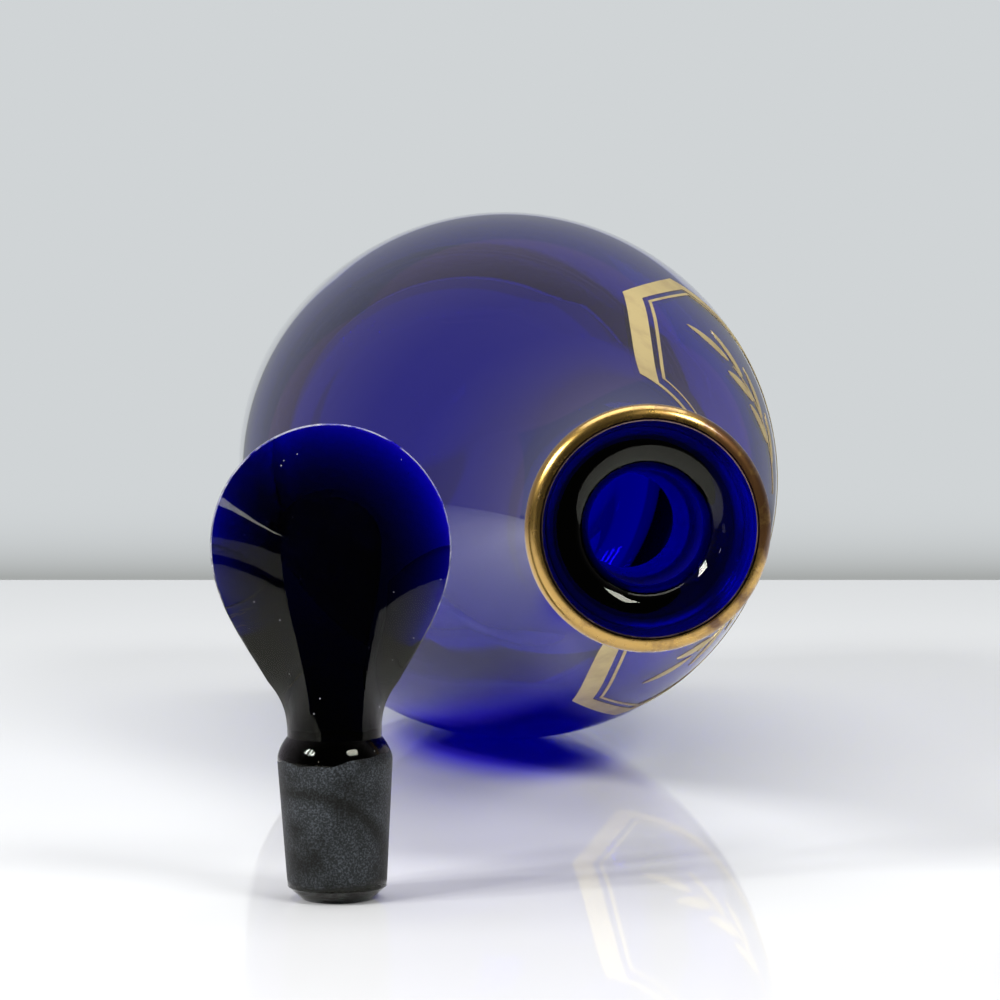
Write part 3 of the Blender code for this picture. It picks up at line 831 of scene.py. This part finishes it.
def build_lip_gilding(material):
    """The gold film over the lip's round edge."""
    inner = RIM_EDGE_RADIUS + FILM_CLEARANCE
    outer = inner + FILM_THICKNESS
    profile = arc(rim_centre(), outer, LIP_GILT_FROM, LIP_GILT_TO, RIM_STEPS)
    profile += arc(rim_centre(), inner, LIP_GILT_TO, LIP_GILT_FROM, RIM_STEPS)
    finish_gilding("lip_gold_band", turned(profile), "lip_gilding", material)


# Gilding laid on the shoulder


def radius_on(outline, height):
    """The outline's radius at a height, between the two points on either side."""
    for (low_radius, low), (high_radius, high) in zip(outline, outline[1:]):
        if low <= height <= high and high > low:
            return low_radius + (high_radius - low_radius) * (height - low) / (high - low)
    return outline[-1][0]


def lay_on_shoulder(bm):
    """Wrap a flat sheet round the glass and give it its thickness."""
    outline = outside_of_body()
    for vert in bm.verts:
        height = SHOULDER_START + vert.co.y
        glass = radius_on(outline, height)
        angle = LABEL_TURN + vert.co.x / glass
        radius = glass + FILM_CLEARANCE + FILM_THICKNESS
        vert.co = (radius * math.cos(angle), radius * math.sin(angle), height)
    bm.normal_update()
    outwards = sum(face.normal.dot(face.calc_center_median()) for face in bm.faces) > 0.0
    thickness = FILM_THICKNESS if outwards else -FILM_THICKNESS
    bmesh.ops.solidify(bm, geom=bm.faces[:], thickness=thickness)


def label_outline(bm):
    """The label's eight-sided outline as one flat face."""
    right = (
        (LABEL_FOOT_HALF, LABEL_FOOT),
        (LABEL_WIDE_HALF, LABEL_LOW_CORNER),
        (LABEL_WIDE_HALF, LABEL_HIGH_CORNER),
        (LABEL_TOP_HALF, LABEL_TOP),
    )
    left = [(-across, up) for across, up in reversed(right)]
    field = bm.faces.new([bm.verts.new((across, up, 0.0)) for across, up in (*right, *left)])
    bm.normal_update()
    return field


def build_label_frame(name, node, setback, width, material):
    """A closed frame, set back from the label's outline, thin along the side by the neck."""
    bm = bmesh.new()
    field = label_outline(bm)
    for thickness in (setback, width):
        if thickness > 0.0:
            border = bmesh.ops.inset_region(
                bm,
                faces=[field],
                thickness=thickness,
                use_boundary=True,
                use_even_offset=True,
            )["faces"]
    if width > BAND_TOP_WIDTH:
        inner = sorted(field.verts, key=lambda vert: -vert.co.y)
        slope = (LABEL_WIDE_HALF - LABEL_TOP_HALF) / (LABEL_TOP - LABEL_HIGH_CORNER)
        for vert in inner[:2]:
            rise = LABEL_TOP - BAND_TOP_WIDTH - vert.co.y
            vert.co.y += rise
            vert.co.x -= math.copysign(rise * slope, vert.co.x)
    bm.faces.remove(field)
    bmesh.ops.delete(bm, geom=[face for face in bm.faces if face not in border], context="FACES")
    sides = [edge for edge in bm.edges if len(edge.link_faces) == 1]
    bmesh.ops.subdivide_edges(bm, edges=sides, cuts=LABEL_SIDE_CUTS, use_grid_fill=True)
    lay_on_shoulder(bm)
    finish_gilding(name, bm, node, material)


def branch_place(angle, side_sign):
    """A place on a branch and the way that the branch runs there."""
    across = BRANCH_ARC_RADIUS * math.sin(angle)
    up = BRANCH_LOW + BRANCH_ARC_RADIUS * (1.0 - math.cos(angle))
    heading = angle if side_sign > 0 else math.pi - angle
    return side_sign * across, up, heading


def build_stem(which, side_sign, material):
    """One branch's stem, a thin brush line that narrows towards its tip."""
    bm = bmesh.new()
    bmesh.ops.create_grid(bm, x_segments=STEM_GRID[0], y_segments=STEM_GRID[1], size=1.0)
    for vert in bm.verts:
        share = (vert.co.x + 1.0) / 2.0
        angle = BRANCH_FROM + (BRANCH_TO - BRANCH_FROM) * share
        across, up, heading = branch_place(angle, side_sign)
        reach = vert.co.y * (1.0 - STEM_TAPER_SHARE * share) * STEM_WIDTH / 2.0
        vert.co = (across - reach * math.sin(heading), up + reach * math.cos(heading), 0.0)
    lay_on_shoulder(bm)
    finish_gilding(f"spray_stem_gold_{which}", bm, f"spray_stem_{which}", material)


def build_leaf(which, place, heading, material):
    """One leaf, a brush stroke with a round press and a drawn-out tip."""
    bm = bmesh.new()
    bmesh.ops.create_grid(bm, x_segments=LEAF_GRID[0], y_segments=LEAF_GRID[1], size=1.0)
    for vert in bm.verts:
        share = (vert.co.x + 1.0) / 2.0
        along = LEAF_LENGTH * share
        swell = math.sin(math.pi * share**LEAF_PRESS_POWER) ** LEAF_SWELL_POWER
        across = vert.co.y * swell * LEAF_WIDTH / 2.0
        vert.co = (
            place[0] + along * math.cos(heading) - across * math.sin(heading),
            place[1] + along * math.sin(heading) + across * math.cos(heading),
            0.0,
        )
    bmesh.ops.remove_doubles(bm, verts=bm.verts, dist=MERGE_DISTANCE)
    lay_on_shoulder(bm)
    finish_gilding(f"spray_leaf_gold_{which}", bm, f"spray_leaf_{which}", material)


def build_branch(which, side_sign, material):
    """A stem with leaves on alternate sides, and one leaf in line with its tip."""
    build_stem(which, side_sign, material)
    for leaf in range(LEAVES_PER_BRANCH):
        share = (leaf + 1) / LEAVES_PER_BRANCH
        angle = BRANCH_FROM + (BRANCH_TO - BRANCH_FROM) * share
        across, up, heading = branch_place(angle, side_sign)
        turn = LEAF_SPREAD if leaf % 2 else -LEAF_SPREAD
        if leaf == LEAVES_PER_BRANCH - 1:
            turn = 0.0
        heading += turn
        place = (
            across + LEAF_SETBACK * math.cos(heading),
            up + LEAF_SETBACK * math.sin(heading),
        )
        build_leaf(f"{which}_{leaf + 1}", place, heading, material)


# Stopper


def round_ring(radius, height, angles):
    """Points on a level circle, at the given angles."""
    return [(radius * math.cos(angle), radius * math.sin(angle), height) for angle in angles]


def flank_point(waist_half, wide_half, handle_shares, share):
    """A point on a curve that leaves the waist upright and reaches its widest upright."""
    rise = HEAD_WIDE_HEIGHT - WAIST_HEIGHT
    lower_share, upper_share = handle_shares
    handles = (
        (waist_half, WAIST_HEIGHT),
        (waist_half, WAIST_HEIGHT + rise * lower_share),
        (wide_half, HEAD_WIDE_HEIGHT - rise * upper_share),
        (wide_half, HEAD_WIDE_HEIGHT),
    )
    return bezier(handles, share)


def head_outlines(step):
    """The outline and the facet's outline at one step up the head, as half width and height."""
    if step <= FLANK_STEPS:
        share = step / FLANK_STEPS
        outline = flank_point(WAIST_RADIUS, HEAD_HALF_WIDTH, OUTLINE_SHARES, share)
        facet = flank_point(FACET_WAIST_HALF_WIDTH, FACET_HALF_WIDTH, FACET_SHARES, share)
        return outline, facet
    angle = math.pi / 2.0 * (step - FLANK_STEPS) / CROWN_STEPS
    across, up = math.cos(angle), math.sin(angle)
    if step == FLANK_STEPS + CROWN_STEPS:
        across = 0.0
    outline = (HEAD_HALF_WIDTH * across, HEAD_WIDE_HEIGHT + HEAD_CROWN_HEIGHT * up)
    facet = (FACET_HALF_WIDTH * across, HEAD_WIDE_HEIGHT + FACET_CROWN_HEIGHT * up)
    return outline, facet


def head_ring(step):
    """One ring of points round the head: facet, bevel and narrow edge, front and back."""
    outline, facet = head_outlines(step)
    share = min(1.0, (facet[1] - WAIST_HEIGHT) / HEAD_BLEND_HEIGHT)
    facet_top = HEAD_WIDE_HEIGHT + FACET_CROWN_HEIGHT
    thickness_share = (facet[1] - WAIST_HEIGHT) / (facet_top - WAIST_HEIGHT)
    thickness = FACET_WAIST_THICKNESS * (1.0 - thickness_share)
    thickness += FACET_CROWN_THICKNESS * thickness_share
    land = (outline[0], HEAD_EDGE_THICKNESS / 2.0, outline[1])
    face = (facet[0], thickness / 2.0, facet[1])
    run = math.hypot(outline[0] - facet[0], outline[1] - facet[1])
    inset = HEAD_EDGE_CHAMFER / run
    edge = (
        outline[0] * (1.0 - inset) + facet[0] * inset,
        land[1] + HEAD_EDGE_CHAMFER,
        outline[1] * (1.0 - inset) + facet[1] * inset,
    )
    quarter = [land]
    for bevel in range(BEVEL_STEPS):
        part = bevel / BEVEL_STEPS
        quarter.append(tuple(edge[i] * (1.0 - part) + face[i] * part for i in range(3)))
    for flat in range(FACET_STEPS // 2 + 1):
        quarter.append((face[0] * (1.0 - 2.0 * flat / FACET_STEPS), face[1], face[2]))
    front = quarter + [(-x, y, z) for x, y, z in reversed(quarter[:-1])]
    cut = front + [(x, -y, z) for x, y, z in reversed(front)]
    ring = []
    for x, y, z in cut:
        rounded = WAIST_RADIUS / max(math.hypot(x, y), MERGE_DISTANCE)
        grow_by = share + (1.0 - share) * rounded
        ring.append((x * grow_by, y * grow_by, z))
    return ring


def grow(bm, ring, places):
    """Extrude an open ring of vertices to its next places, and give the new ring back."""
    edges = [bm.edges.get(pair) for pair in zip(ring, ring[1:] + ring[:1])]
    geom = bmesh.ops.extrude_edge_only(bm, edges=edges)["geom"]
    fresh = {item for item in geom if isinstance(item, bmesh.types.BMVert)}
    grown = []
    for vert, place in zip(ring, places):
        above = next(e.other_vert(vert) for e in vert.link_edges if e.other_vert(vert) in fresh)
        above.co = place
        grown.append(above)
    return grown


def build_stopper(material):
    """One solid piece: tapered peg, bulging collar, round waist and bevel-cut head."""
    waist = head_ring(0)
    angles = [math.atan2(y, x) for x, y, z in waist]
    collar_rise = WAIST_HEIGHT - PEG_HEIGHT
    places = [
        round_ring(PEG_BOTTOM_RADIUS, PEG_FOOT_CHAMFER, angles),
        round_ring(PEG_TOP_RADIUS, PEG_HEIGHT, angles),
    ]
    for step in range(1, COLLAR_STEPS):
        share = step / COLLAR_STEPS
        radius = PEG_TOP_RADIUS - (PEG_TOP_RADIUS - WAIST_RADIUS) * share**COLLAR_BULGE_POWER
        places.append(round_ring(radius, PEG_HEIGHT + collar_rise * share, angles))
    places += [head_ring(step) for step in range(FLANK_STEPS + CROWN_STEPS + 1)]
    bm = bmesh.new()
    ring = [bm.verts.new(place) for place in round_ring(PEG_FOOT_RADIUS, 0.0, angles)]
    bm.faces.new(ring)
    for ring_places in places:
        ring = grow(bm, ring, ring_places)
    for vert in bm.verts:
        vert.co.x += math.tan(STOPPER_LEAN) * vert.co.z
    bm.transform(Matrix.Translation((STOPPER_X, STOPPER_Y, 0.0)))
    finish_piece(
        "stopper_glass", bm, material, "stopper", ["stopper"], STOPPER_CREASE
    )


# Stage, light and camera


def camera_point(distance):
    """The point of the table's plane at a distance straight ahead of the camera."""
    ahead = Vector((math.sin(CAMERA_TURN), math.cos(CAMERA_TURN), 0.0)) * distance
    return Vector((CAMERA_PLACE[0], CAMERA_PLACE[1], 0.0)) + ahead


def stage_piece(name, bm, middle, material):
    """Turn a piece of the stage square to the camera, move it to its place and put it in the scene."""
    bm.transform(Matrix.Translation(middle) @ Matrix.Rotation(-CAMERA_TURN, 4, "Z"))
    mesh = bpy.data.meshes.new(name)
    bm.to_mesh(mesh)
    bm.free()
    mesh.materials.append(material)
    piece = bpy.data.objects.new(name, mesh)
    bpy.context.scene.collection.objects.link(piece)


def build_table():
    """A table top that ends behind the vessel in a rounded edge, its front edge at an angle."""
    bm = bmesh.new()
    bmesh.ops.create_cube(bm, size=1.0)
    bmesh.ops.scale(bm, vec=(TABLE_WIDTH, TABLE_LENGTH, TABLE_THICKNESS), verts=bm.verts)
    for vert in bm.verts:
        if vert.co.y < 0.0:
            vert.co.y += vert.co.x * math.tan(TABLE_FRONT_TURN)
    back = [edge for edge in bm.edges if all(v.co.y > 0.0 and v.co.z > 0.0 for v in edge.verts)]
    bmesh.ops.bevel(
        bm,
        geom=back,
        offset=TABLE_EDGE_ROUNDING,
        segments=TABLE_EDGE_STEPS,
        profile=0.5,
        affect="EDGES",
        material=-1,
    )
    middle = camera_point(TABLE_BACK_EDGE - TABLE_LENGTH / 2.0)
    middle.z = -TABLE_THICKNESS / 2.0
    stage_piece("table", bm, middle, white_table_top())


def build_backdrop():
    """A pale sheet that stands square to the camera, far behind the table."""
    bm = bmesh.new()
    bmesh.ops.create_grid(bm, x_segments=1, y_segments=1, size=BACKDROP_HALF_SIZE)
    bm.transform(Matrix.Rotation(math.pi / 2.0, 4, "X"))
    stage_piece("backdrop", bm, camera_point(BACKDROP_DISTANCE), pale_backdrop_paper())


def add_softbox(name, place, aim, size, watts):
    """A rectangular soft light at a place, facing a point."""
    light = bpy.data.lights.new(name, "AREA")
    light.shape = "RECTANGLE"
    light.size = size[0]
    light.size_y = size[1]
    light.energy = watts
    lamp = bpy.data.objects.new(name, light)
    lamp.location = place
    lamp.rotation_euler = (Vector(aim) - Vector(place)).to_track_quat("-Z", "Y").to_euler()
    bpy.context.scene.collection.objects.link(lamp)


def build_light():
    """A left window in three panes, a right window and a ceiling light.

    A small lamp and a sheet of paper give the stopper's head its glints. The room is dim in
    front of the glass and pale behind it.
    """
    for pane in range(LEFT_WINDOW_PANES):
        turn = LEFT_WINDOW_TURN + LEFT_WINDOW_PANE_TURN * pane
        way = Vector((-math.cos(turn), -math.sin(turn), LEFT_WINDOW_RISE_SHARE))
        place = way * LEFT_WINDOW_DISTANCE + LIT_POINT
        name = f"left_window_{pane + 1}"
        add_softbox(name, place, LIT_POINT, LEFT_WINDOW_SIZE, LEFT_WINDOW_WATTS)
    place = RIGHT_WINDOW_PLACE + LIT_POINT
    add_softbox("right_window", place, LIT_POINT, RIGHT_WINDOW_SIZE, RIGHT_WINDOW_WATTS)
    add_softbox("ceiling", CEILING_PLACE, (0.0, 0.0, 0.0), CEILING_SIZE, CEILING_WATTS)
    add_softbox("lamp", LAMP_PLACE + HEAD_POINT, HEAD_POINT, LAMP_SIZE, LAMP_WATTS)
    add_softbox("paper", PAPER_PLACE + HEAD_POINT, HEAD_POINT, PAPER_SIZE, PAPER_WATTS)
    world = bpy.data.worlds.new("room")
    world.use_nodes = True
    tree = world.node_tree
    tree.nodes.clear()
    way = add(tree, "ShaderNodeTexCoord", {}).outputs["Generated"]
    parts = add(tree, "ShaderNodeSeparateXYZ", {"Vector": way})
    span = ROOM_FRONT_TO_BACK_SHARES
    behind = ramp(tree, parts.outputs["Y"], span, curve="SMOOTHSTEP")
    colour = blend(tree, behind, linear("#2c2c2b"), linear("#a59fa8"))
    sky = add(tree, "ShaderNodeBackground", {"Color": colour, "Strength": 1.0})
    add(tree, "ShaderNodeOutputWorld", {"Surface": sky.outputs[0]})
    bpy.context.scene.world = world


def place_camera():
    """The photograph's camera, level from side to side and tilted a little down."""
    data = bpy.data.cameras.new("photo_camera")
    data.sensor_width = SENSOR_WIDTH
    data.lens = FOCAL_PIXELS * SENSOR_WIDTH / IMAGE_WIDTH
    data.clip_start = CAMERA_NEAR
    data.clip_end = CAMERA_FAR
    camera = bpy.data.objects.new("photo_camera", data)
    camera.location = CAMERA_PLACE
    camera.rotation_euler = (math.pi / 2.0 - CAMERA_TILT, 0.0, -CAMERA_TURN)
    bpy.context.scene.collection.objects.link(camera)
    bpy.context.scene.camera = camera


def set_rendering():
    """Plain display colours, and enough bounces for light to cross the hollow vessel."""
    scene = bpy.context.scene
    scene.view_settings.view_transform = "Standard"
    scene.view_settings.look = "None"
    scene.cycles.max_bounces = GLASS_BOUNCES
    scene.cycles.transmission_bounces = GLASS_BOUNCES
    scene.cycles.glossy_bounces = GLOSSY_BOUNCES
    scene.cycles.diffuse_bounces = DIFFUSE_BOUNCES
    scene.cycles.caustics_refractive = True
    scene.cycles.caustics_reflective = True


def main():
    """Load the CAD, set the stage and build every piece."""
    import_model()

    set_rendering()
    place_camera()
    build_light()
    build_table()
    build_backdrop()

    build_vessel(blown_cobalt_glass())
    build_stopper(cut_cobalt_glass())
    build_lip_gilding(lip_gold())
    matt_gold = label_gold()
    build_label_frame("label_band_gold", "label_outer_band", 0.0, BAND_WIDTH, matt_gold)
    line_setback = BAND_WIDTH + LINE_SETBACK
    build_label_frame("label_line_gold", "label_inner_line", line_setback, LINE_WIDTH, matt_gold)
    build_branch("upper", 1, matt_gold)
    build_branch("lower", -1, matt_gold)


main()
